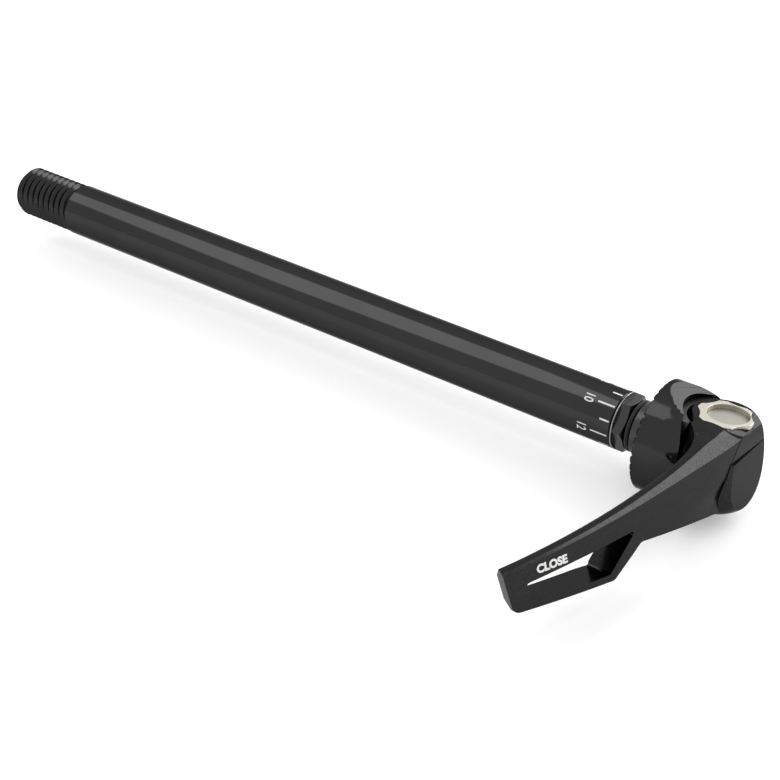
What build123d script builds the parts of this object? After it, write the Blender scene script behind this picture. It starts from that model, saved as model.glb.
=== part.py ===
from build123d import *
from math import cos, exp, radians, sin, sqrt, tan
import os

# Rear thru axle with a cam lever, modelled closed. X runs along the axle, the thread at -X and the
# lever at +X. Z is up, along the lever's pivot. The origin is on the axle's axis at the clamp plane,
# where the cup's teeth meet the frame.

# Axle tube
axle_length = 174.0
axle_diameter = 12.0
thread_diameter = 11.66
thread_length = 17.5
thread_chamfer = 1.2
tube_bore = 8.0
tube_end = -7.6
tube_end_chamfer = 0.25
socket_bore = 8.9
socket_depth = 15.0
web_thickness = 3.0
web_bore = 5.3
screw_seat_bore = 7.4
screw_seat_depth = 7.0

# Head shaft, from the tube's end to the stud's tip
index_clearance = 0.05
flange_thickness = 0.45
hex_end = -4.8
hex_chamfer = 0.6
seal_groove_diameter = 9.0
neck_start = -3.8
neck_end = -1.0
neck_diameter = 11.0
neck_edge = 0.35
journal_diameter = 7.2
stud_diameter = 5.0
stud_reach = 3.0

# Index screw and its washer, reached through the tube
screw_diameter = 4.9
screw_head_diameter = 7.0
screw_head_height = 4.0
screw_thread_length = 8.0
screw_key = 4.0
screw_key_depth = 2.4
washer_thickness = 0.8
seat_clearance = 0.05
thread_clearance = 0.05

# Seal and disc springs
seal_section = 0.9
spring_outer_diameter = 13.2
spring_thickness = 0.45
spring_rise = 0.45

# Clamp cup
cup_diameter = 23.0
cup_flange = 3.4
cup_floor = 1.86
cup_end = 9.8
cup_end_diameter = 21.1
cup_swell = 0.25
cup_recess_diameter = 15.6
cup_recess_depth = 0.9
tooth_count = 36
tooth_depth = 0.6
tooth_angle = 80.0
rim_edge = 0.3

# Lever head: a crowned barrel whose centre stands off the pivot
cam_throw = 0.6
cam_angle = 225.0
barrel_top = 9.4
barrel_bottom = -9.2
barrel_waist_z = -2.0
barrel_radius = 9.3
barrel_shoulder_z = 8.3
barrel_shoulder_radius = 7.1
barrel_deck_radius = 6.3
barrel_foot_radius = 5.0
saddle_clearance = 0.27
saddle_runs = 5
bushing_thickness = 1.55
bushing_clearance = 0.05
bushing_reach = 6.6
bushing_edge = 0.4

# Flats on the head's outer side: a plain band at the top, a raised panel below it and a shallow bevel
head_band = 6.1
head_band_lean = 0.065
head_panel = 6.67
head_panel_lean = 0.045
head_panel_fall = 0.09
head_border_z = 4.0
head_border_rise = 0.1
head_bevel_z = 8.4
head_bevel_slope = 0.3

# Lever arm, seen from above and from outside
arm_tip_y = -71.7
arm_tip_z = 6.1
arm_tip_low_y = -67.7
arm_tip_low_z = -3.0
arm_tip_tilt = 38.0
arm_offset = 5.27
arm_lean = 0.045
arm_bow = 0.00125
arm_crown = 0.06
arm_flare = 0.8
arm_flare_y = 14.0
arm_flare_spread = 4.0
arm_flare_low_z = -4.0
arm_flare_high_z = 1.0
arm_thickness = 4.9
arm_strip = 1.4
arm_root = 8.0
arm_root_y = 9.0
arm_root_spread = 2.8
arm_face_head_z = 8.4
arm_face_tip_z = 6.0
arm_face_power = 2.0
arm_bevel_head = 2.9
arm_bevel_tip = 0.4
arm_bevel_power = 2.5
arm_inner_top = 4.2
arm_inner_low_z = -5.0
arm_low_z = -10.5
arm_first_y = -1.2
arm_last_y = -75.0
arm_spans = 26
arm_crowding = 1.2
paddle_y = -40.9
paddle_z = -7.4
waist_y = -34.5
waist_z = -2.0
arm_heel_y = -9.5
arm_heel_z = -6.85
arm_corner = 3.4
arm_bend = 1.2
arm_relief = 0.3

# Finger slot through the arm
slot_tip_top_y = -66.2
slot_tip_top_z = 2.2
slot_tip_low_y = -63.0
slot_tip_low_z = -2.6
slot_head_low_y = -42.6
slot_head_low_z = -5.5
slot_head_top_y = -36.9
slot_head_top_z = 1.6
slot_corner = 0.7

# Pivot pieces in the lever head
star_point_radius = 5.6
star_valley_radius = 4.9
star_notch_radius = 6.5
star_points = 6
star_thickness = 2.3
star_stand = 0.12
star_clearance = 0.12
dish_diameter = 8.2
dish_depth = 1.0
nut_head_height = 0.7
nut_diameter = 7.4
nut_tail_diameter = 6.0
nut_tail_length = 3.4
nut_end_gap = 0.4
pivot_clearance = 0.04
lever_bore = 9.7
bush_length = 2.4
bush_clearance = 0.03
stud_slot_clearance = 0.35

# Places worked out from the sizes above
axle_radius = axle_diameter / 2
thread_end = -axle_length
thread_start = thread_end + thread_length
socket_end = tube_end - socket_depth
web_end = socket_end - web_thickness
seat_end = web_end - screw_seat_depth
groove_grow = saddle_clearance + bushing_thickness + bushing_clearance
head_x = cup_floor + groove_grow + barrel_radius
head_y = cam_throw * sin(radians(cam_angle))
pivot_x = head_x - cam_throw * cos(radians(cam_angle))
head_axis = Axis((head_x, head_y, 0), (0, 0, 1))
stud_end = pivot_x + stud_reach
star_top = barrel_top + star_stand
star_bottom = star_top - star_thickness
nut_top = star_top - dish_depth
arm_outer_x = head_x + arm_offset
cup_radius = cup_diameter / 2

os.makedirs("parts", exist_ok=True)


def upright_plane(x, y):
    """A plane facing -Y through a vertical axis, with its own x along +X and its own y up."""
    return Plane(origin=(x, y, 0), x_dir=(1, 0, 0), z_dir=(0, -1, 0))


def barrel_section():
    """Half section of the crowned lever head."""
    waist = (barrel_radius, barrel_waist_z)
    shoulder = (barrel_shoulder_radius, barrel_shoulder_z)
    with BuildSketch(upright_plane(head_x, head_y), mode=Mode.PRIVATE) as section:
        with BuildLine():
            EllipticalCenterArc(
                (barrel_foot_radius, barrel_waist_z),
                barrel_radius - barrel_foot_radius,
                barrel_waist_z - barrel_bottom,
                start_angle=-90,
                arc_size=90,
            )
            TangentArc(waist, shoulder, tangent=(0, 1))
            Polyline(
                shoulder,
                (barrel_deck_radius, barrel_top),
                (0, barrel_top),
                (0, barrel_bottom),
                (barrel_foot_radius, barrel_bottom),
            )
        make_face()
    return section.sketch


def saddle_section(grow):
    """Half section around the lever head in straight runs, grown outward and carried past both ends."""
    fall = barrel_radius - barrel_shoulder_radius
    rise = barrel_shoulder_z - barrel_waist_z
    drop = barrel_waist_z - barrel_bottom
    crown = (fall**2 + rise**2) / (2 * fall)
    side = [(barrel_deck_radius + grow, barrel_top + cup_radius), (barrel_deck_radius + grow, barrel_top)]
    for run in range(saddle_runs):
        z = barrel_shoulder_z - rise * run / saddle_runs
        side.append((barrel_radius - crown + sqrt(crown**2 - (z - barrel_waist_z) ** 2) + grow, z))
    for run in range(saddle_runs + 1):
        turn = radians(90 * run / saddle_runs)
        radius = barrel_foot_radius + (barrel_radius - barrel_foot_radius) * cos(turn)
        side.append((radius + grow, barrel_waist_z - drop * sin(turn)))
    side.append((barrel_foot_radius + grow, barrel_bottom - cup_radius))
    with BuildSketch(upright_plane(head_x, head_y), mode=Mode.PRIVATE) as section:
        with BuildLine():
            Polyline((0, barrel_top + cup_radius), *side, (0, barrel_bottom - cup_radius), close=True)
        make_face()
    return section.sketch


def turned(points):
    """Half section of a turned piece, from (x, radius) pairs."""
    with BuildSketch(Plane.XZ, mode=Mode.PRIVATE) as section:
        with BuildLine():
            Polyline(*points, close=True)
        make_face()
    return section.sketch


def star_outline(grow, height):
    """The adjuster's lobed outline about the lever head's centre."""
    with BuildSketch(Plane((head_x, head_y, height)), mode=Mode.PRIVATE) as outline:
        Circle(star_point_radius + grow)
        with PolarLocations(star_valley_radius + star_notch_radius, star_points, start_angle=180 / star_points):
            Circle(star_notch_radius - grow, mode=Mode.SUBTRACT)
    return outline.sketch


# Axle tube: hollow, threaded at one end, with a web that the index screw pulls against
with BuildPart() as axle_tube:
    revolve(
        turned(
            [
                (tube_end, socket_bore / 2),
                (tube_end, axle_radius - tube_end_chamfer),
                (tube_end - tube_end_chamfer, axle_radius),
                (thread_start, axle_radius),
                (thread_start, thread_diameter / 2),
                (thread_end + thread_chamfer, thread_diameter / 2),
                (thread_end, thread_diameter / 2 - thread_chamfer),
                (thread_end, tube_bore / 2),
                (seat_end, tube_bore / 2),
                (seat_end, screw_seat_bore / 2),
                (web_end, screw_seat_bore / 2),
                (web_end, web_bore / 2),
                (socket_end, web_bore / 2),
                (socket_end, socket_bore / 2),
            ]
        ),
        axis=Axis.X,
    )
axle_tube.part.label = "axle_tube"
export_step(axle_tube.part, "parts/axle_tube.step")

# Head shaft: spigot in the tube, thin flange, hexagon, seal groove, neck, journal and stud
spigot_end = socket_end + index_clearance
spigot_radius = socket_bore / 2 - index_clearance
flange_start = tube_end + index_clearance
hex_start = flange_start + flange_thickness
with BuildPart() as head_shaft:
    revolve(
        turned(
            [
                (spigot_end, 0),
                (spigot_end, spigot_radius),
                (flange_start, spigot_radius),
                (flange_start, axle_radius),
                (hex_start, axle_radius),
                (hex_start, seal_groove_diameter / 2),
                (neck_start, seal_groove_diameter / 2),
                (neck_start, neck_diameter / 2 - neck_edge),
                (neck_start + neck_edge, neck_diameter / 2),
                (neck_end, neck_diameter / 2),
                (neck_end, journal_diameter / 2),
                (cup_floor, journal_diameter / 2),
                (cup_floor, stud_diameter / 2),
                (stud_end, stud_diameter / 2),
                (stud_end, 0),
            ]
        ),
        axis=Axis.X,
    )
    with BuildSketch(Plane.YZ.offset(hex_start)):
        RegularPolygon(axle_radius, 6)
    extrude(amount=hex_end - hex_start)
    revolve(
        turned(
            [
                (hex_end - hex_chamfer, axle_radius),
                (hex_end, axle_radius - 2 * hex_chamfer),
                (hex_end, axle_radius),
            ]
        ),
        axis=Axis.X,
        mode=Mode.SUBTRACT,
    )
    with BuildSketch(Plane.YZ.offset(spigot_end)):
        Circle(screw_diameter / 2 + thread_clearance)
    extrude(amount=screw_thread_length, mode=Mode.SUBTRACT)
head_shaft.part.label = "head_shaft"
export_step(head_shaft.part, "parts/head_shaft.step")

# Washer under the index screw's head, against the tube's web
washer_start = web_end - seat_clearance
with BuildPart() as index_washer:
    with BuildSketch(Plane.YZ.offset(washer_start - washer_thickness)):
        Circle(screw_head_diameter / 2)
        Circle(screw_diameter / 2 + thread_clearance, mode=Mode.SUBTRACT)
    extrude(amount=washer_thickness)
index_washer.part.label = "index_washer"
export_step(index_washer.part, "parts/index_washer.step")

# Index screw: socket head, locks the head's turn in the tube
screw_head_face = washer_start - washer_thickness
with BuildPart() as index_screw:
    with BuildSketch(Plane.YZ.offset(screw_head_face)):
        Circle(screw_head_diameter / 2)
    extrude(amount=-screw_head_height)
    with BuildSketch(Plane.YZ.offset(screw_head_face)):
        Circle(screw_diameter / 2)
    extrude(amount=spigot_end + screw_thread_length - index_clearance - screw_head_face)
    with BuildSketch(Plane.YZ.offset(screw_head_face - screw_head_height)):
        RegularPolygon(screw_key / 2, 6, major_radius=False)
    extrude(amount=screw_key_depth, mode=Mode.SUBTRACT)
index_screw.part.label = "index_screw"
export_step(index_screw.part, "parts/index_screw.step")

# Seal ring in the groove between the hexagon and the neck
seal_x = (hex_end + neck_start) / 2
seal_radius = seal_groove_diameter / 2 + seal_section / 2
seal_half = seal_section / 2 - seat_clearance / 2
with BuildPart() as neck_seal:
    with BuildSketch(Plane.XZ):
        with Locations((seal_x, seal_radius)):
            RegularPolygon(seal_half, 8, major_radius=False)
    revolve(axis=Axis.X)
neck_seal.part.label = "neck_seal"
export_step(neck_seal.part, "parts/neck_seal.step")

# Two coned disc springs that push the cup back when the lever opens
spring_inner = journal_diameter / 2 + 4 * seat_clearance
spring_outer = spring_outer_diameter / 2
spring_start = neck_end + seat_clearance
spring_stop = cup_recess_depth - seat_clearance
with BuildPart() as return_springs:
    for start, rise in ((spring_start, spring_rise), (spring_stop, -spring_rise)):
        thick = spring_thickness if rise > 0 else -spring_thickness
        disc = [(start, spring_inner), (start + rise, spring_outer)]
        disc += [(start + rise + thick, spring_outer), (start + thick, spring_inner)]
        revolve(turned(disc), axis=Axis.X)
return_springs.part.label = "return_springs"
export_step(return_springs.part, "parts/return_springs.step")

# Clamp cup: toothed rim, domed body and a saddle that takes the lever head
tooth_half = tooth_depth * tan(radians(tooth_angle / 2))
tooth_turns = [radians(index * 360 / tooth_count) for index in range(tooth_count)]
tooth_planes = [Plane((0, 0, 0), (1, 0, 0), (0, cos(turn), sin(turn))) for turn in tooth_turns]
with BuildPart() as clamp_cup:
    with BuildSketch(Plane.XZ):
        with BuildLine():
            flange_edge = (cup_flange, cup_radius)
            horn_edge = (cup_end, cup_end_diameter / 2)
            swell = ((cup_flange + cup_end) / 2, (cup_radius + cup_end_diameter / 2) / 2 + cup_swell)
            Polyline(
                (cup_recess_depth, journal_diameter / 2 + index_clearance),
                (cup_recess_depth, cup_recess_diameter / 2),
                (0, cup_recess_diameter / 2),
                (0, cup_radius - rim_edge),
                (rim_edge, cup_radius),
                flange_edge,
            )
            ThreePointArc(flange_edge, swell, horn_edge)
            Polyline(
                horn_edge,
                (cup_end, journal_diameter / 2 + index_clearance),
                (cup_recess_depth, journal_diameter / 2 + index_clearance),
            )
        make_face()
    revolve(axis=Axis.X)
    revolve(saddle_section(groove_grow), axis=head_axis, mode=Mode.SUBTRACT)
    with BuildSketch(*tooth_planes):
        with BuildLine():
            Polyline((0, tooth_half), (tooth_depth, 0), (0, -tooth_half), close=True)
        make_face()
    extrude(amount=cup_radius, mode=Mode.SUBTRACT)
clamp_cup.part.label = "clamp_cup"
export_step(clamp_cup.part, "parts/clamp_cup.step")

# Polymer bushing that lines the saddle
bushing_outer = saddle_clearance + bushing_thickness
bushing_side = cup_end - bushing_edge
bushing_height = barrel_top - barrel_bottom - 4 * bushing_edge
with BuildPart() as cam_bushing:
    revolve(saddle_section(bushing_outer), axis=head_axis)
    revolve(saddle_section(saddle_clearance), axis=head_axis, mode=Mode.SUBTRACT)
    with BuildSketch(Plane.YZ):
        with Locations((head_y, 0)):
            Rectangle(2 * bushing_reach, bushing_height)
    extrude(amount=bushing_side, mode=Mode.INTERSECT)
    with BuildSketch(Plane.YZ):
        Circle(stud_diameter / 2 + stud_slot_clearance)
    extrude(amount=cup_end, mode=Mode.SUBTRACT)
cam_bushing.part.label = "cam_bushing"
export_step(cam_bushing.part, "parts/cam_bushing.step")


def arm_face_x(y):
    """Where the arm's outer face stands at one station, before it flares to the head."""
    return arm_outer_x + arm_lean * y - arm_bow * y**2


def fade(size, place, spread, y):
    """A size that is full at the pivot and fades out along the arm."""
    return size / (1 + exp((-y - place) / spread))


def arm_section(y):
    """Cross section of the arm at one station: flat face, bevel, top strip and swollen back."""
    left = max(0, 1 - y / arm_tip_y)
    bevel = arm_bevel_tip + (arm_bevel_head - arm_bevel_tip) * left**arm_bevel_power
    face_z = arm_face_tip_z + (arm_face_head_z - arm_face_tip_z) * left**arm_face_power
    top_z = min(face_z + bevel, barrel_top)
    outer = arm_face_x(y)
    flared = outer + fade(arm_flare, arm_flare_y, arm_flare_spread, y)
    root = fade(arm_root, arm_root_y, arm_root_spread, y)
    edge = outer - bevel - arm_strip - root
    back = outer - arm_thickness - root
    with BuildSketch(Plane.XZ.offset(-y), mode=Mode.PRIVATE) as section:
        with BuildLine():
            Polyline(
                (outer - 2 * arm_crown, arm_low_z),
                (outer, arm_flare_low_z),
                (flared, arm_flare_high_z),
                (flared - arm_crown, face_z),
                (outer - bevel, top_z),
                (edge, top_z),
                (back, top_z - arm_inner_top),
                (back, arm_inner_low_z),
                (edge, arm_low_z),
                close=True,
            )
        make_face()
    return section.sketch


# Lever: crowned head and blade arm in one forging, with the finger slot and the pivot's holes. The head
# is cut on its own first, so that its flats stop at the arm.
band_x = head_x + head_band
border_low_z = head_border_z - head_border_rise * cup_radius
border_high_z = head_border_z + head_border_rise * cup_radius
with BuildPart(mode=Mode.PRIVATE) as lever_head:
    revolve(barrel_section(), axis=head_axis)
    panel_normal = (1, -head_panel_lean, head_panel_fall)
    split(bisect_by=Plane((head_x + head_panel, 0, 0), z_dir=panel_normal), keep=Keep.BOTTOM)
    with BuildSketch(Plane((band_x, 0, 0), x_dir=(head_band_lean, 1, 0), z_dir=(1, -head_band_lean, 0))):
        with BuildLine():
            Polyline(
                (-cup_radius, border_low_z),
                (cup_radius, border_high_z),
                (cup_radius, 2 * barrel_top),
                (-cup_radius, 2 * barrel_top),
                close=True,
            )
        make_face()
    extrude(amount=cup_radius, mode=Mode.SUBTRACT)
    split(bisect_by=Plane((band_x, 0, head_bevel_z), z_dir=(head_bevel_slope, 0, 1)), keep=Keep.BOTTOM)
slot_half = stud_diameter / 2 + stud_slot_clearance
tip_slope = (arm_tip_low_y - arm_tip_y) / (arm_tip_z - arm_tip_low_z)
heel_fall = (arm_heel_z - waist_z) / (arm_heel_y - waist_y)
arm_sweep = cup_diameter + arm_outer_x
arm_steps = [(index / arm_spans) ** arm_crowding for index in range(arm_spans + 1)]
arm_stations = [arm_first_y + (arm_last_y - arm_first_y) * step for step in arm_steps]
tip_high = Vector(arm_face_x(arm_tip_y), arm_tip_y, arm_tip_z)
tip_low = Vector(arm_face_x(arm_tip_low_y), arm_tip_low_y, arm_tip_low_z)
tip_edge = tip_low - tip_high
tip_normal = tip_edge.cross(Vector(-1, tan(radians(arm_tip_tilt)), 0))
with BuildPart() as lever:
    loft([arm_section(y) for y in arm_stations])
    split(bisect_by=Plane(tip_high, x_dir=tip_edge, z_dir=tip_normal), keep=Keep.TOP)
    with BuildSketch(Plane.YZ.offset(-arm_sweep)) as arm_outline:
        with BuildLine():
            Polyline(
                (0, 2 * barrel_top),
                (arm_tip_y - barrel_top * tip_slope, arm_tip_z + barrel_top),
                (arm_tip_low_y, arm_tip_low_z),
                (paddle_y, paddle_z),
                (waist_y, waist_z),
                (arm_heel_y, arm_heel_z),
                (0, arm_heel_z - heel_fall * arm_heel_y),
                close=True,
            )
        make_face()
        fillet(arm_outline.vertices().sort_by(Axis.X)[1], arm_corner)
        fillet([v for v in arm_outline.vertices() if paddle_y - 1 < v.X < waist_y + 1], arm_bend)
    extrude(amount=2 * arm_sweep, mode=Mode.INTERSECT)
    with BuildSketch(Plane.XY.offset(-arm_sweep)):
        with Locations((cup_end + arm_relief, head_y - bushing_reach - arm_relief)):
            Rectangle(arm_sweep, arm_sweep, align=(Align.MAX, Align.MIN))
    extrude(amount=2 * arm_sweep, mode=Mode.SUBTRACT)
    add(lever_head.part)
    with BuildSketch(Plane.YZ) as finger_slot:
        with BuildLine():
            Polyline(
                (slot_tip_top_y, slot_tip_top_z),
                (slot_tip_low_y, slot_tip_low_z),
                (slot_head_low_y, slot_head_low_z),
                (slot_head_top_y, slot_head_top_z),
                close=True,
            )
        make_face()
        fillet(finger_slot.vertices(), slot_corner)
    extrude(amount=arm_sweep, mode=Mode.SUBTRACT)
    with BuildSketch(Plane((head_x, head_y, 0))):
        Circle(lever_bore / 2)
    extrude(amount=2 * barrel_top, both=True, mode=Mode.SUBTRACT)
    extrude(star_outline(star_clearance, star_bottom), amount=star_thickness, mode=Mode.SUBTRACT)
    with BuildSketch(Plane.XY.offset(-slot_half)):
        with Locations((pivot_x + slot_half, -slot_half)):
            Rectangle(arm_sweep, arm_sweep, align=(Align.MAX, Align.MIN))
    extrude(amount=2 * slot_half, mode=Mode.SUBTRACT)
lever.part.label = "lever"
export_step(lever.part, "parts/lever.step")

# Star adjuster: lobed key that holds the pivot off the lever head's centre
with BuildPart() as star_adjuster:
    extrude(star_outline(0, star_bottom), amount=star_thickness)
    with BuildSketch(Plane((pivot_x, 0, star_top))):
        Circle(dish_diameter / 2)
    extrude(amount=-(dish_depth + nut_head_height), mode=Mode.SUBTRACT)
    with BuildSketch(Plane((pivot_x, 0, star_top))):
        Circle(nut_diameter / 2 + pivot_clearance)
    extrude(amount=-star_thickness, mode=Mode.SUBTRACT)
star_adjuster.part.label = "star_adjuster"
export_step(star_adjuster.part, "parts/star_adjuster.step")

# Lower bush: off-centre ring at the bottom of the lever's bore
bush_bottom = barrel_bottom + nut_end_gap
with BuildPart() as lower_bush:
    with BuildSketch(Plane((head_x, head_y, bush_bottom))):
        Circle(lever_bore / 2 - bush_clearance)
    extrude(amount=bush_length)
    with BuildSketch(Plane((pivot_x, 0, bush_bottom))):
        Circle(nut_tail_diameter / 2 + pivot_clearance)
    extrude(amount=bush_length, mode=Mode.SUBTRACT)
lower_bush.part.label = "lower_bush"
export_step(lower_bush.part, "parts/lower_bush.step")

# Barrel nut: the pivot pin, headed at the top, with the cross hole that takes the stud
nut_tail_top = bush_bottom + nut_tail_length
with BuildPart() as barrel_nut:
    with BuildSketch(Plane((pivot_x, 0, nut_top - nut_head_height))):
        Circle(dish_diameter / 2 - pivot_clearance)
    extrude(amount=nut_head_height)
    with BuildSketch(Plane((pivot_x, 0, nut_tail_top))):
        Circle(nut_diameter / 2)
    extrude(amount=nut_top - nut_head_height - nut_tail_top)
    with BuildSketch(Plane((pivot_x, 0, bush_bottom))):
        Circle(nut_tail_diameter / 2)
    extrude(amount=nut_tail_length)
    with BuildSketch(Plane.YZ):
        Circle(stud_diameter / 2 + thread_clearance)
    extrude(amount=arm_sweep, mode=Mode.SUBTRACT)
barrel_nut.part.label = "barrel_nut"
export_step(barrel_nut.part, "parts/barrel_nut.step")
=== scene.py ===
from math import atan2, cos, hypot, pi, radians, sin

import bpy
from mathutils import Matrix, Vector


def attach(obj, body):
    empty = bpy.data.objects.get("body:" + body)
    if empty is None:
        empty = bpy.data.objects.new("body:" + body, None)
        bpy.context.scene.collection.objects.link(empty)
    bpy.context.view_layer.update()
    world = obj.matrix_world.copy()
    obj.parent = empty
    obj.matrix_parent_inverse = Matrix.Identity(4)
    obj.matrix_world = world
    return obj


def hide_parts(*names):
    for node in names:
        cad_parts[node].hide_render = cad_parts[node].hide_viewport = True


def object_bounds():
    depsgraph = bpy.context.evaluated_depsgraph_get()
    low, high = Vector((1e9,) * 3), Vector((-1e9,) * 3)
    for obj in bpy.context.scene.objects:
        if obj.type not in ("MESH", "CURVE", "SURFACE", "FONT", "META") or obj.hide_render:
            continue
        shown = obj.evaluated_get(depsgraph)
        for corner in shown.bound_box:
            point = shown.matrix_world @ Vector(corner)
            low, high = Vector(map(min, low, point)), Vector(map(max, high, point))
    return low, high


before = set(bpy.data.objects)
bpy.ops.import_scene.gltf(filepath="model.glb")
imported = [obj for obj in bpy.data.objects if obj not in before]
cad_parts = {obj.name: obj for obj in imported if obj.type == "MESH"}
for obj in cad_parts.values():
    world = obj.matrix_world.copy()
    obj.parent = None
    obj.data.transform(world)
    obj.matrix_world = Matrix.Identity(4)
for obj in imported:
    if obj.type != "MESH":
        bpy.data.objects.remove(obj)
cad_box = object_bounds()

# Axle tube: a drawn aluminium tube, turned at one end to a coarse right-hand thread with a lead-in
# chamfer and a relief groove, then anodised gloss black. The hollow end takes a long hex key.
MM = 0.001
TURN_STEPS = 72
SOFT_ANGLE = 32
MERGE_GAP = 0.002
NEAR = 0.01
TUBE_RADIUS = 6.0
TUBE_END = -7.6
TUBE_EDGE = 0.25
SOCKET_RADIUS, SOCKET_END = 4.45, -22.6
WEB_RADIUS, WEB_END = 2.65, -25.6
SEAT_RADIUS, SEAT_END = 3.7, -32.6
BORE_RADIUS = 4.0
THREAD_END, THREAD_START = -174.0, -156.5
THREAD_RADIUS, THREAD_DEPTH, THREAD_PITCH = 5.83, 0.95, 1.75
THREAD_LEAD = 1.2
THREAD_RINGS = 350
CREST_SHARE, ROOT_SHARE = 0.07, 0.9
RELIEF_WIDTH = 0.75
SHOULDER_EDGE = 0.18
LEAD_WALL, BORE_CLEAR = 0.3, 0.1
DRAWN_LINES, TONE_CLOUDS = 0.35, 9
BLACK_SHEEN, THREAD_SHEEN = (0.5, 0.5, 0.5, 1), (0.35, 0.35, 0.35, 1)


def linear(code):
    """An sRGB hex colour as linear RGBA."""
    parts = [int(code[i : i + 2], 16) / 255 for i in (1, 3, 5)]
    return (*(c / 12.92 if c <= 0.04045 else ((c + 0.055) / 1.055) ** 2.4 for c in parts), 1)


def add_node(tree, kind, settings=None, links=None):
    """Adds a node. A setting names a property or an input socket, and a link feeds an input."""
    node = tree.nodes.new(kind)
    for name, value in (settings or {}).items():
        if isinstance(name, int) or name in node.inputs.keys():
            node.inputs[name].default_value = value
        else:
            setattr(node, name, value)
    for name, source in (links or {}).items():
        tree.links.new(source, node.inputs[name])
    return node


def bare_material(name):
    """A new material with only its output, and its coordinates in metres."""
    material = bpy.data.materials.new(name)
    material.use_nodes = True
    tree = material.node_tree
    tree.nodes.clear()
    coords = add_node(tree, "ShaderNodeTexCoord").outputs["Object"]
    return material, tree, coords


def select_only(obj):
    """Leaves one object selected and active."""
    bpy.ops.object.select_all(action="DESELECT")
    obj.select_set(True)
    bpy.context.view_layer.objects.active = obj


def turned(name, section, steps=TURN_STEPS):
    """A closed section of (x, radius) points in millimetres, spun about the axle's axis."""
    bpy.ops.object.select_all(action="DESELECT")
    bpy.ops.mesh.primitive_circle_add(vertices=len(section), radius=TUBE_RADIUS * MM)
    piece = bpy.context.object
    piece.name = piece.data.name = name
    for vertex, (x, radius) in zip(piece.data.vertices, section):
        vertex.co = (x * MM, radius * MM, 0)
    bpy.ops.object.mode_set(mode="EDIT")
    bpy.ops.mesh.select_all(action="SELECT")
    bpy.ops.mesh.spin(steps=steps, angle=2 * pi, center=(0, 0, 0), axis=(1, 0, 0))
    bpy.ops.mesh.select_all(action="SELECT")
    bpy.ops.mesh.remove_doubles(threshold=MERGE_GAP * MM)
    bpy.ops.mesh.normals_make_consistent(inside=False)
    bpy.ops.object.mode_set(mode="OBJECT")
    return piece


def thread_radius(x, angle):
    """The thread's radius at one place: flat crests, straight flanks, a lead-in and a relief groove."""
    phase = ((x - THREAD_END) / THREAD_PITCH - angle / (2 * pi)) % 1
    flank = (abs(2 * phase - 1) - CREST_SHARE) / (ROOT_SHARE - CREST_SHARE)
    radius = THREAD_RADIUS - THREAD_DEPTH * min(1, max(0, flank))
    lead = THREAD_RADIUS - THREAD_LEAD + (x - THREAD_END)
    if x > THREAD_START - RELIEF_WIDTH:
        radius = THREAD_RADIUS - THREAD_DEPTH
    return min(radius, max(lead, BORE_RADIUS + LEAD_WALL))


section = [(THREAD_END, BORE_RADIUS), (SEAT_END, BORE_RADIUS), (SEAT_END, SEAT_RADIUS)]
section += [(WEB_END, SEAT_RADIUS), (WEB_END, WEB_RADIUS), (SOCKET_END, WEB_RADIUS)]
section += [(SOCKET_END, SOCKET_RADIUS), (TUBE_END, SOCKET_RADIUS), (TUBE_END, TUBE_RADIUS - TUBE_EDGE)]
section += [(TUBE_END - TUBE_EDGE, TUBE_RADIUS), (THREAD_START + SHOULDER_EDGE, TUBE_RADIUS)]
section += [(THREAD_START, TUBE_RADIUS - SHOULDER_EDGE)]
for ring in range(THREAD_RINGS + 1):
    x = THREAD_START + (THREAD_END - THREAD_START) * ring / THREAD_RINGS
    section.append((x, THREAD_RADIUS))
tube = turned("axle_tube_turned", section)
for vertex in tube.data.vertices:
    x, y, z = (value / MM for value in vertex.co)
    if x < THREAD_START + NEAR and abs(hypot(y, z) - THREAD_RADIUS) < NEAR:
        angle = atan2(z, y)
        radius = thread_radius(x, angle)
        vertex.co = (x * MM, radius * MM * cos(angle), radius * MM * sin(angle))
select_only(tube)
bpy.ops.object.shade_smooth_by_angle(angle=radians(SOFT_ANGLE))

# Gloss black anodised aluminium: a thin dyed layer over bright metal, so it mirrors its
# surroundings darkly. Faint drawing lines run round it, 0.35 mm apart. Its shine at flat angles is
# turned down to come nearer the photograph.
black_gloss, tree, coords = bare_material("gloss_black_anodised_aluminium")
lines = add_node(tree, "ShaderNodeMapping", {"Scale": (1, 0.06, 0.06)}, {"Vector": coords})
grain = add_node(
    tree, "ShaderNodeTexNoise", {"Scale": 1 / (DRAWN_LINES * MM), "Detail": 2}, {"Vector": lines.outputs[0]}
)
cloud = add_node(
    tree, "ShaderNodeTexNoise", {"Scale": 1 / (TONE_CLOUDS * MM), "Detail": 3}, {"Vector": coords}
)
tone = add_node(
    tree,
    "ShaderNodeMix",
    {"data_type": "RGBA", 6: linear("#333333"), 7: linear("#3a3a3a")},
    {"Factor": cloud.outputs["Fac"]},
)
gloss = add_node(
    tree, "ShaderNodeMapRange", {"To Min": 0.07, "To Max": 0.13}, {"Value": grain.outputs["Fac"]}
)
bump = add_node(
    tree, "ShaderNodeBump", {"Strength": 0.05, "Distance": 0.02 * MM}, {"Height": grain.outputs["Fac"]}
)
shader = add_node(
    tree,
    "ShaderNodeBsdfPrincipled",
    {"Metallic": 1.0, "Specular Tint": BLACK_SHEEN},
    {"Base Color": tone.outputs[2], "Roughness": gloss.outputs[0], "Normal": bump.outputs[0]},
)
add_node(tree, "ShaderNodeOutputMaterial", links={"Surface": shader.outputs[0]})
tube.data.materials.append(black_gloss)


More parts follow.
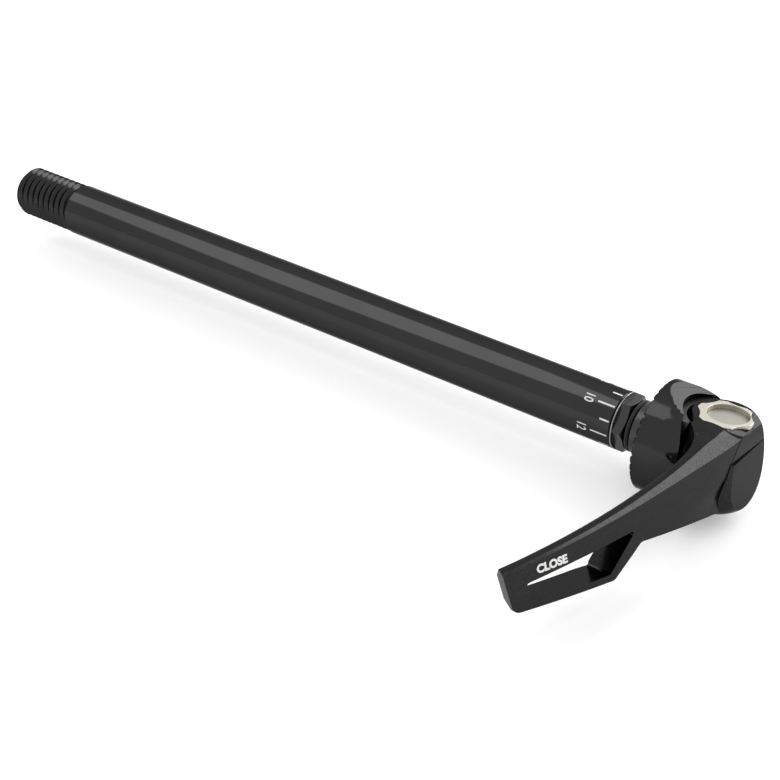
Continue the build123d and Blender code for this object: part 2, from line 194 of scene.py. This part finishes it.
def recoloured(material, name, dark, light):
    """A copy of a finish between two other colours."""
    copy = material.copy()
    copy.name = name
    for node in copy.node_tree.nodes:
        if node.bl_idname == "ShaderNodeMix":
            node.inputs[6].default_value, node.inputs[7].default_value = linear(dark), linear(light)
    return copy


# Painted shade: the thread's black is drawn darker and duller than the tube's, to stand in for the shade that
# falls between its flanks. That is a guess.
shaded_thread_black = recoloured(black_gloss, "painted_shade_thread_black_anodised", "#2e2e2e", "#353535")
for node in shaded_thread_black.node_tree.nodes:
    if node.bl_idname == "ShaderNodeMapRange":
        node.inputs["To Min"].default_value, node.inputs["To Max"].default_value = 0.14, 0.22
    if node.bl_idname == "ShaderNodeBsdfPrincipled":
        node.inputs["Specular Tint"].default_value = THREAD_SHEEN
tube.data.materials.append(shaded_thread_black)
# The thread's faces take this painted shade.
for face in tube.data.polygons:
    x, y, z = (value / MM for value in face.center)
    if x < THREAD_START and hypot(y, z) > BORE_RADIUS + BORE_CLEAR:
        face.material_index = 1
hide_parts("axle_tube")
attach(tube, "axle")

# Dial: twelve ticks and the even numbers, pad printed in white ink round the tube's lever end. They
# show which of twelve places the lever's head is set to.
MARK_COUNT = 12
FIRST_MARK_ANGLE = -166.5
TICK_NEAR, TICK_LONG, TICK_SHORT = -8.1, -11.8, -10.2
TICK_WIDTH = 0.34
NUMBER_X, NUMBER_HEIGHT, NUMBER_SQUEEZE, NUMBER_WEIGHT = -13.75, 2.1, 0.72, 0.012
INK_LIFT = 0.025
INK_RADIUS = TUBE_RADIUS + INK_LIFT
INK_CUTS = 5

# Pad printing ink: chalky white, slightly thinner in places so the black shows through faintly.
white_ink, tree, coords = bare_material("white_pad_print_ink")
speck = add_node(tree, "ShaderNodeTexNoise", {"Scale": 1 / (0.25 * MM), "Detail": 3}, {"Vector": coords})
tone = add_node(
    tree,
    "ShaderNodeMix",
    {"data_type": "RGBA", 6: linear("#d9d9d6"), 7: linear("#f4f4f2")},
    {"Factor": speck.outputs["Fac"]},
)
shader = add_node(
    tree, "ShaderNodeBsdfPrincipled", {"Roughness": 0.55}, {"Base Color": tone.outputs[2]}
)
add_node(tree, "ShaderNodeOutputMaterial", links={"Surface": shader.outputs[0]})


def flat_word(name, text, height, squeeze=1.0, weight=0.0):
    """A centred word as a flat mesh in millimetres, in the plain built-in letters."""
    bpy.ops.object.select_all(action="DESELECT")
    bpy.ops.object.text_add()
    word = bpy.context.object
    word.data.body = text
    word.data.align_x, word.data.align_y = "CENTER", "CENTER"
    word.data.resolution_u, word.data.offset = 4, weight
    bpy.ops.object.convert(target="MESH")
    word = bpy.context.object
    word.name = word.data.name = name
    low = min(v.co.y for v in word.data.vertices)
    high = max(v.co.y for v in word.data.vertices)
    left = min(v.co.x for v in word.data.vertices)
    right = max(v.co.x for v in word.data.vertices)
    scale = height / (high - low)
    for vertex in word.data.vertices:
        along, up = vertex.co.x - (left + right) / 2, vertex.co.y - (low + high) / 2
        vertex.co = (along * scale * squeeze, up * scale, 0)
    return word


def wrap_on_tube(piece, angle, x):
    """Lays a flat mesh round the tube: its own x runs round, its own y runs along the axle."""
    for vertex in piece.data.vertices:
        turn = angle + vertex.co.x / TUBE_RADIUS
        vertex.co = ((x + vertex.co.y) * MM, INK_RADIUS * MM * cos(turn), INK_RADIUS * MM * sin(turn))


ink_pieces = []
for mark in range(1, MARK_COUNT + 1):
    angle = radians(FIRST_MARK_ANGLE + mark * 360 / MARK_COUNT)
    far = TICK_LONG if mark % 2 == 0 else TICK_SHORT
    bpy.ops.object.select_all(action="DESELECT")
    bpy.ops.mesh.primitive_grid_add(x_subdivisions=2, y_subdivisions=INK_CUTS, size=1)
    tick = bpy.context.object
    for vertex in tick.data.vertices:
        vertex.co = (vertex.co.x * TICK_WIDTH, vertex.co.y * (TICK_NEAR - far), 0)
    wrap_on_tube(tick, angle, (TICK_NEAR + far) / 2)
    ink_pieces.append(tick)
    if mark % 2 == 0:
        number = flat_word(f"dial_number_{mark}", str(mark), NUMBER_HEIGHT, NUMBER_SQUEEZE, NUMBER_WEIGHT)
        wrap_on_tube(number, angle, NUMBER_X)
        ink_pieces.append(number)
bpy.ops.object.select_all(action="DESELECT")
for piece in ink_pieces:
    piece.select_set(True)
bpy.context.view_layer.objects.active = ink_pieces[0]
bpy.ops.object.join()
dial = bpy.context.object
dial.name = dial.data.name = "dial_print"
dial.data.materials.clear()
dial.data.materials.append(white_ink)
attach(dial, "axle")

# Head shaft: turned from one steel bar, with a spigot in the tube, a short hexagon, a neck, a journal
# and the threaded stud. It is plated black, and the screw inside the tube holds it.
FLAT_ANGLE = 0.05
SHAFT_EDGE, TURNING_LINES = 0.08, 0.2


def merged_copy(node, name):
    """A copy of a solid from the frame, with its triangles joined and its flat faces made whole."""
    piece = bpy.data.objects.new(name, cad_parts[node].data.copy())
    piece.data.name = name
    piece.data.materials.clear()
    bpy.context.scene.collection.objects.link(piece)
    select_only(piece)
    bpy.ops.object.mode_set(mode="EDIT")
    bpy.ops.mesh.select_all(action="SELECT")
    bpy.ops.mesh.remove_doubles(threshold=MERGE_GAP * MM)
    bpy.ops.mesh.dissolve_limited(angle_limit=radians(FLAT_ANGLE))
    bpy.ops.object.mode_set(mode="OBJECT")
    return piece


def break_edges(piece, width, cuts=2):
    """Breaks a piece's sharp edges with a fine bevel, and keeps its flats looking flat."""
    select_only(piece)
    bevel = piece.modifiers.new("edge", "BEVEL")
    bevel.width, bevel.segments = width * MM, cuts
    bevel.limit_method, bevel.angle_limit = "ANGLE", radians(SOFT_ANGLE)
    bpy.ops.object.modifier_apply(modifier=bevel.name)
    bpy.ops.object.shade_smooth_by_angle(angle=radians(SOFT_ANGLE))
    flats = piece.modifiers.new("flats", "WEIGHTED_NORMAL")
    flats.keep_sharp = True
    bpy.ops.object.modifier_apply(modifier=flats.name)


# Black plated steel: a little lighter and duller than the tube, with turning lines 0.2 mm apart.
black_plate, tree, coords = bare_material("black_plated_steel")
rings = add_node(tree, "ShaderNodeMapping", {"Scale": (1, 0.1, 0.1)}, {"Vector": coords})
grain = add_node(
    tree, "ShaderNodeTexNoise", {"Scale": 1 / (TURNING_LINES * MM), "Detail": 2}, {"Vector": rings.outputs[0]}
)
gloss = add_node(
    tree, "ShaderNodeMapRange", {"To Min": 0.2, "To Max": 0.32}, {"Value": grain.outputs["Fac"]}
)
tone = add_node(
    tree,
    "ShaderNodeMix",
    {"data_type": "RGBA", 6: linear("#3a3a3a"), 7: linear("#484848")},
    {"Factor": grain.outputs["Fac"]},
)
shader = add_node(
    tree,
    "ShaderNodeBsdfPrincipled",
    {"Metallic": 1.0},
    {"Base Color": tone.outputs[2], "Roughness": gloss.outputs[0]},
)
add_node(tree, "ShaderNodeOutputMaterial", links={"Surface": shader.outputs[0]})
shaft = merged_copy("head_shaft", "head_shaft_turned")
break_edges(shaft, SHAFT_EDGE)
shaft.data.materials.append(black_plate)
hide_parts("head_shaft")
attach(shaft, "head")

# Highlight ring: a thin bright nickel ring between the tube and the hexagon. It stands for the bare metal
# edge there, and paints in the highlight that edge catches. It sits on the shaft's flange and turns with it.
RING_START, RING_END = -7.5, -7.22
RING_INNER, RING_OUTER, RING_EDGE = 5.4, 6.03, 0.07
RING_STEPS, RING_SOFT_ANGLE = 96, 50
section = [(RING_START, RING_INNER), (RING_END, RING_INNER), (RING_END, RING_OUTER - RING_EDGE)]
section += [(RING_END - RING_EDGE, RING_OUTER), (RING_START + RING_EDGE, RING_OUTER)]
section += [(RING_START, RING_OUTER - RING_EDGE)]
highlight_ring = turned("highlight_ring", section, RING_STEPS)
bpy.ops.object.shade_smooth_by_angle(angle=radians(RING_SOFT_ANGLE))

# Bright nickel plate for the painted highlight ring: a slightly warm grey metal with a fine grain, 0.15 mm
# wide.
nickel, tree, coords = bare_material("painted_highlight_nickel_plate")
grain = add_node(tree, "ShaderNodeTexNoise", {"Scale": 1 / (0.15 * MM), "Detail": 2}, {"Vector": coords})
gloss = add_node(
    tree, "ShaderNodeMapRange", {"To Min": 0.2, "To Max": 0.32}, {"Value": grain.outputs["Fac"]}
)
tone = add_node(
    tree,
    "ShaderNodeMix",
    {"data_type": "RGBA", 6: linear("#8c8b88"), 7: linear("#9b9a97")},
    {"Factor": grain.outputs["Fac"]},
)
shader = add_node(
    tree,
    "ShaderNodeBsdfPrincipled",
    {"Metallic": 1.0},
    {"Base Color": tone.outputs[2], "Roughness": gloss.outputs[0]},
)
add_node(tree, "ShaderNodeOutputMaterial", links={"Surface": shader.outputs[0]})
highlight_ring.data.materials.append(nickel)
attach(highlight_ring, "head")

# Index screw and washer, neck seal and disc springs: bought-in small parts. The screw and washer are
# zinc plated steel, the seal is moulded rubber, and the springs are bright rolled steel.
zinc, tree, coords = bare_material("zinc_plated_steel")
cloud = add_node(tree, "ShaderNodeTexNoise", {"Scale": 1 / (1.2 * MM), "Detail": 3}, {"Vector": coords})
tone = add_node(
    tree,
    "ShaderNodeMix",
    {"data_type": "RGBA", 6: linear("#8d9094"), 7: linear("#a9abad")},
    {"Factor": cloud.outputs["Fac"]},
)
shader = add_node(
    tree, "ShaderNodeBsdfPrincipled", {"Metallic": 1.0, "Roughness": 0.34}, {"Base Color": tone.outputs[2]}
)
add_node(tree, "ShaderNodeOutputMaterial", links={"Surface": shader.outputs[0]})

rubber, tree, coords = bare_material("black_moulded_rubber")
grit = add_node(tree, "ShaderNodeTexNoise", {"Scale": 1 / (0.2 * MM), "Detail": 3}, {"Vector": coords})
tone = add_node(
    tree,
    "ShaderNodeMix",
    {"data_type": "RGBA", 6: linear("#141414"), 7: linear("#222222")},
    {"Factor": grit.outputs["Fac"]},
)
shader = add_node(
    tree, "ShaderNodeBsdfPrincipled", {"Roughness": 0.75, "IOR": 1.52}, {"Base Color": tone.outputs[2]}
)
add_node(tree, "ShaderNodeOutputMaterial", links={"Surface": shader.outputs[0]})

spring_steel, tree, coords = bare_material("bright_spring_steel")
grain = add_node(tree, "ShaderNodeTexNoise", {"Scale": 1 / (0.3 * MM), "Detail": 2}, {"Vector": coords})
tone = add_node(
    tree,
    "ShaderNodeMix",
    {"data_type": "RGBA", 6: linear("#a7a8aa"), 7: linear("#bcbdbf")},
    {"Factor": grain.outputs["Fac"]},
)
shader = add_node(
    tree, "ShaderNodeBsdfPrincipled", {"Metallic": 1.0, "Roughness": 0.28}, {"Base Color": tone.outputs[2]}
)
add_node(tree, "ShaderNodeOutputMaterial", links={"Surface": shader.outputs[0]})


def dress(node, material):
    """Gives a solid from the frame its finish."""
    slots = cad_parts[node].data.materials
    slots.clear()
    slots.append(material)


dress("index_screw", zinc)
dress("index_washer", zinc)
dress("neck_seal", rubber)
dress("return_springs", spring_steel)

# Clamp cup: forged aluminium, machined with a ring of radial teeth that bite the frame and a round
# saddle for the lever's head, and anodised gloss black. It slides on the shaft's journal.
CUP_RADIUS, CUP_EDGE = 11.5, 0.1
ON_WALL, ON_FLAT, WALL_LEAN = 0.02, 0.005, 0.1
FLAT_SLOPE, FLAT_RISE, FLAT_REACH = 0.355, 0.935, 11.225
cup = merged_copy("clamp_cup", "clamp_cup_forged")

# Two slanted flats. The upper one is in the photograph, and the lower one is guessed to match.
for rise in (FLAT_RISE, -FLAT_RISE):
    facing = Vector((FLAT_SLOPE, 0, rise)).normalized()
    bpy.ops.object.mode_set(mode="EDIT")
    bpy.ops.mesh.select_all(action="SELECT")
    place = facing * FLAT_REACH * MM
    bpy.ops.mesh.bisect(plane_co=place, plane_no=facing, use_fill=True, clear_outer=True)
    bpy.ops.object.mode_set(mode="OBJECT")
break_edges(cup, CUP_EDGE)

# The teeth break up the round wall's faces, so the wall and the flats get their exact normals.
bends = [tuple(corner.vector) for corner in cup.data.corner_normals]
for face in cup.data.polygons:
    spots = [cup.data.vertices[index].co / MM for index in face.vertices]
    round_wall = all(abs(hypot(spot.y, spot.z) - CUP_RADIUS) < ON_WALL for spot in spots)
    if round_wall and abs(face.normal.x) < WALL_LEAN:
        for corner, spot in zip(face.loop_indices, spots):
            bends[corner] = (0, spot.y / CUP_RADIUS, spot.z / CUP_RADIUS)
    if abs(face.normal.x - FLAT_SLOPE) < ON_FLAT and abs(abs(face.normal.z) - FLAT_RISE) < ON_FLAT:
        for corner in face.loop_indices:
            bends[corner] = tuple(face.normal)
cup.data.normals_split_custom_set(bends)
black_cup = recoloured(black_gloss, "gloss_black_anodised_forging", "#303030", "#363636")
cup.data.materials.append(black_cup)
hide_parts("clamp_cup")
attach(cup, "collar")

# Cam bushing: a moulded liner that snaps into the cup's saddle, of black filled nylon, slightly grainy
# and dull.
nylon, tree, coords = bare_material("black_filled_nylon")
grit = add_node(tree, "ShaderNodeTexNoise", {"Scale": 1 / (0.15 * MM), "Detail": 3}, {"Vector": coords})
tone = add_node(
    tree,
    "ShaderNodeMix",
    {"data_type": "RGBA", 6: linear("#1b1b1c"), 7: linear("#2a2a2b")},
    {"Factor": grit.outputs["Fac"]},
)
bump = add_node(
    tree, "ShaderNodeBump", {"Strength": 0.15, "Distance": 0.03 * MM}, {"Height": grit.outputs["Fac"]}
)
shader = add_node(
    tree,
    "ShaderNodeBsdfPrincipled",
    {"Roughness": 0.48, "IOR": 1.53},
    {"Base Color": tone.outputs[2], "Normal": bump.outputs[0]},
)
add_node(tree, "ShaderNodeOutputMaterial", links={"Surface": shader.outputs[0]})
dress("cam_bushing", nylon)
dress("lower_bush", nylon)

# Lever: one aluminium forging with a crowned cam head and a bowed blade, a finger slot and a milled
# bevel along the top, bead blasted and anodised satin black.
LEVER_EDGE, LEVER_CUTS = 0.2, 3
TIP_START, TIP_FACING, TIP_LEAN = -64.0, Vector((-0.6, -0.7, -0.4)).normalized(), 0.9
EDGE_SHEEN, TIP_SHEEN = (0.6, 0.6, 0.6, 1), (0.05, 0.05, 0.05, 1)
INNER_EDGE, INNER_LOW, INNER_END = 0.45, 5.0, -7.0
TOP_LEAN, INNER_LEAN, INNER_RISE = 0.9, -0.5, 0.6
BLAST_GRIT = 0.35
lever = merged_copy("lever", "lever_forging")

# The edge between the blade's top and its inner side has a wider chamfer than the rest.
beside = {}
for face in lever.data.polygons:
    for key in face.edge_keys:
        beside.setdefault(key, []).append(face.normal)
ends = [vertex.co / MM for vertex in lever.data.vertices]
bpy.ops.object.mode_set(mode="EDIT")
bpy.ops.mesh.select_mode(type="EDGE")
bpy.ops.mesh.select_all(action="DESELECT")
bpy.ops.object.mode_set(mode="OBJECT")
for edge in lever.data.edges:
    top = max(beside[edge.key], key=lambda normal: normal.z)
    inner = min(beside[edge.key], key=lambda normal: normal.x)
    on_top = all(ends[index].z > INNER_LOW and ends[index].y < INNER_END for index in edge.vertices)
    edge.select = on_top and top.z > TOP_LEAN and inner.x < INNER_LEAN and inner.z < INNER_RISE
bpy.ops.object.mode_set(mode="EDIT")
bpy.ops.mesh.bevel(offset=INNER_EDGE * MM, segments=2, affect="EDGES", clamp_overlap=False)
bpy.ops.object.mode_set(mode="OBJECT")
break_edges(lever, LEVER_EDGE, LEVER_CUTS)

# Satin black anodise over bead blasting: very dark, with a soft sheen and a fine grain. The real grit is
# about 0.1 mm; it is drawn 0.35 mm wide so that it shows. Its shine at flat angles is turned down too.
black_satin, tree, coords = bare_material("satin_black_anodised_aluminium")
grit = add_node(tree, "ShaderNodeTexNoise", {"Scale": 1 / (BLAST_GRIT * MM), "Detail": 3}, {"Vector": coords})
spread = add_node(
    tree, "ShaderNodeMapRange", {"From Min": 0.35, "From Max": 0.65}, {"Value": grit.outputs["Fac"]}
)
tone = add_node(
    tree,
    "ShaderNodeMix",
    {"data_type": "RGBA", 6: linear("#272727"), 7: linear("#313131")},
    {"Factor": spread.outputs[0]},
)
gloss = add_node(
    tree, "ShaderNodeMapRange", {"To Min": 0.13, "To Max": 0.19}, {"Value": grit.outputs["Fac"]}
)
bump = add_node(
    tree, "ShaderNodeBump", {"Strength": 0.06, "Distance": 0.02 * MM}, {"Height": grit.outputs["Fac"]}
)
shader = add_node(
    tree,
    "ShaderNodeBsdfPrincipled",
    {"Metallic": 1.0, "Specular Tint": EDGE_SHEEN},
    {"Base Color": tone.outputs[2], "Roughness": gloss.outputs[0], "Normal": bump.outputs[0]},
)
add_node(tree, "ShaderNodeOutputMaterial", links={"Surface": shader.outputs[0]})
lever.data.materials.append(black_satin)

# The tip's end gets a shaded copy of the blade's finish: its shine at flat angles is cut nearly away, which
# paints shade on that face. That is a guess, to come nearer the photograph.
shaded_tip_satin = black_satin.copy()
shaded_tip_satin.name = "painted_shade_tip_black_anodised_aluminium"
for node in shaded_tip_satin.node_tree.nodes:
    if node.bl_idname == "ShaderNodeBsdfPrincipled":
        node.inputs["Specular Tint"].default_value = TIP_SHEEN
lever.data.materials.append(shaded_tip_satin)
# The tip's end faces take the painted-shade copy.
for face in lever.data.polygons:
    if face.center.y < TIP_START * MM and face.normal.dot(TIP_FACING) > TIP_LEAN:
        face.material_index = 1
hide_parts("lever")
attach(lever, "lever")

# Lever word: the direction to push, pad printed in white ink. It lies on the blade's outer face, near
# its tip.
WORD_LOW_LEFT, WORD_LOW_RIGHT = (-63.27, 3.23), (-55.69, 2.55)
WORD_TOP_LEFT = (-64.0, 5.28)
WORD_LIFT, WORD_WEIGHT = 0.03, 0.05
FACE_START, FACE_SLOPE, FACE_BOW = 18.3, 0.045, 0.00125


def blade_face_x(y):
    """Where the blade's outer face stands at one place along it, in millimetres."""
    return FACE_START + FACE_SLOPE * y - FACE_BOW * y**2


word = flat_word("close_word", "CLOSE", 1.0, weight=WORD_WEIGHT)
word_half = max(v.co.x for v in word.data.vertices)
for vertex in word.data.vertices:
    along, up = (vertex.co.x / word_half + 1) / 2, vertex.co.y + 0.5
    y = WORD_LOW_LEFT[0] + (WORD_LOW_RIGHT[0] - WORD_LOW_LEFT[0]) * along
    z = WORD_LOW_LEFT[1] + (WORD_LOW_RIGHT[1] - WORD_LOW_LEFT[1]) * along
    y += (WORD_TOP_LEFT[0] - WORD_LOW_LEFT[0]) * up
    z += (WORD_TOP_LEFT[1] - WORD_LOW_LEFT[1]) * up
    vertex.co = ((blade_face_x(y) + WORD_LIFT) * MM, y * MM, z * MM)
word.data.materials.clear()
word.data.materials.append(white_ink)
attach(word, "lever")

# Star adjuster and barrel nut: the lobed key that sets the cam's tension and the headed pivot pin in
# its dish, both turned from steel and satin nickel plated.
STAR_EDGE, STAR_CUTS, NUT_EDGE = 0.12, 3, 0.1
satin_nickel, tree, coords = bare_material("satin_nickel_plate")
grain = add_node(tree, "ShaderNodeTexNoise", {"Scale": 1 / (0.2 * MM), "Detail": 3}, {"Vector": coords})
gloss = add_node(
    tree, "ShaderNodeMapRange", {"To Min": 0.36, "To Max": 0.46}, {"Value": grain.outputs["Fac"]}
)
tone = add_node(
    tree,
    "ShaderNodeMix",
    {"data_type": "RGBA", 6: linear("#b4b0a5"), 7: linear("#c2beb3")},
    {"Factor": grain.outputs["Fac"]},
)
shader = add_node(
    tree,
    "ShaderNodeBsdfPrincipled",
    {"Metallic": 1.0},
    {"Base Color": tone.outputs[2], "Roughness": gloss.outputs[0]},
)
add_node(tree, "ShaderNodeOutputMaterial", links={"Surface": shader.outputs[0]})
star = merged_copy("star_adjuster", "star_adjuster_plated")
break_edges(star, STAR_EDGE, STAR_CUTS)
star.data.materials.append(satin_nickel)
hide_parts("star_adjuster")
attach(star, "lever")
nut = merged_copy("barrel_nut", "barrel_nut_plated")
break_edges(nut, NUT_EDGE)
dull_nickel = recoloured(satin_nickel, "dull_nickel_plate", "#9a978f", "#a6a39b")
nut.data.materials.append(dull_nickel)
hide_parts("barrel_nut")
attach(nut, "head")

# Floor: a plain sheet of white paper just under the cup, which keeps a soft shadow. It is lifted a
# little towards white where the backdrop is seen.
FLOOR_SIZE = 6.0
FLOOR_LIFT = 0.28


def backdrop_rays(tree):
    """One for a ray that shows the backdrop: the camera's own, a mirrored one or one through glass."""
    path = add_node(tree, "ShaderNodeLightPath").outputs
    either = add_node(
        tree, "ShaderNodeMath", {"operation": "MAXIMUM"}, {0: path["Is Camera Ray"], 1: path["Is Glossy Ray"]}
    )
    any_of = add_node(
        tree,
        "ShaderNodeMath",
        {"operation": "MAXIMUM"},
        {0: either.outputs[0], 1: path["Is Transmission Ray"]},
    )
    return any_of.outputs[0]


bpy.ops.object.select_all(action="DESELECT")
bpy.ops.mesh.primitive_plane_add(size=FLOOR_SIZE, location=(0, 0, cad_box[0][2]))
floor = bpy.context.object
floor.name = floor.data.name = "floor"
paper, tree, coords = bare_material("white_paper_sweep")
fibre = add_node(tree, "ShaderNodeTexNoise", {"Scale": 1 / (2 * MM), "Detail": 2}, {"Vector": coords})
tone = add_node(
    tree,
    "ShaderNodeMix",
    {"data_type": "RGBA", 6: linear("#efefef"), 7: linear("#f3f3f3")},
    {"Factor": fibre.outputs["Fac"]},
)
diffuse = add_node(tree, "ShaderNodeBsdfDiffuse", links={"Color": tone.outputs[2]})
lift = add_node(tree, "ShaderNodeMath", {"operation": "MULTIPLY", 1: FLOOR_LIFT}, {0: backdrop_rays(tree)})
glow = add_node(tree, "ShaderNodeEmission", {"Color": linear("#ffffff")}, {"Strength": lift.outputs[0]})
sheet = add_node(tree, "ShaderNodeAddShader", links={0: diffuse.outputs[0], 1: glow.outputs[0]})
add_node(tree, "ShaderNodeOutputMaterial", links={"Surface": sheet.outputs[0]})
floor.data.materials.append(paper)

# Studio: a plain white room with a large soft lamp over the tube and a long soft strip behind on the
# right. What the camera, a mirror or glass sees of the room is the white backdrop.
ROOM_LEVEL = 0.75
world = bpy.data.worlds.new("studio_room")
bpy.context.scene.world = world
world.use_nodes = True
tree = world.node_tree
tree.nodes.clear()
backdrop = add_node(tree, "ShaderNodeMix", {"data_type": "RGBA"}, {"Factor": backdrop_rays(tree)})
backdrop.inputs[6].default_value = (ROOM_LEVEL, ROOM_LEVEL, ROOM_LEVEL, 1)
backdrop.inputs[7].default_value = linear("#ffffff")
light = add_node(tree, "ShaderNodeBackground", {"Strength": 1.0}, {"Color": backdrop.outputs[2]})
add_node(tree, "ShaderNodeOutputWorld", links={"Surface": light.outputs[0]})

# Each lamp: its name, place, the point it is aimed at, width, height and power.
LAMPS = [
    ("key_softbox", (-0.5, -0.2, 0.65), (-0.08, 0, 0), 0.6, 0.6, 2.0),
    ("rim_strip", (0.35, 0.55, 0.42), (0.35, -0.01, 0), 0.9, 0.3, 4.0),
]
for lamp_name, place, aim, width, height, power in LAMPS:
    lamp = bpy.data.lights.new(lamp_name, "AREA")
    lamp.shape = "RECTANGLE"
    lamp.size, lamp.size_y, lamp.energy = width, height, power
    softbox = bpy.data.objects.new(lamp_name, lamp)
    bpy.context.scene.collection.objects.link(softbox)
    softbox.location = place
    softbox.rotation_euler = (Vector(aim) - Vector(place)).to_track_quat("-Z", "Y").to_euler()

# Camera: the photograph's place and lens, worked out from the axle's usual diameter of 12 mm. Places
# are in millimetres, and the frame is the photograph's 780 pixels.
EYE = (116.149, -272.735, 156.290)
RIGHT = Vector((0.807717, 0.583688, 0.083079))
DOWN = Vector((0.331656, -0.333335, -0.882548))
FORWARD = Vector((-0.487440, 0.740403, -0.462824))
FOCAL_PIXELS, FRAME_PIXELS, SENSOR = 1692.2, 780, 36.0
lens = bpy.data.cameras.new("photo_camera")
lens.sensor_width = SENSOR
lens.lens = FOCAL_PIXELS / FRAME_PIXELS * SENSOR
lens.clip_start = 0.01
camera = bpy.data.objects.new("photo_camera", lens)
bpy.context.scene.collection.objects.link(camera)
turn = Matrix((RIGHT, -DOWN, -FORWARD)).transposed().to_4x4()
camera.matrix_world = Matrix.Translation([value * MM for value in EYE]) @ turn
bpy.context.scene.camera = camera
bpy.context.scene.view_settings.view_transform = "Standard"
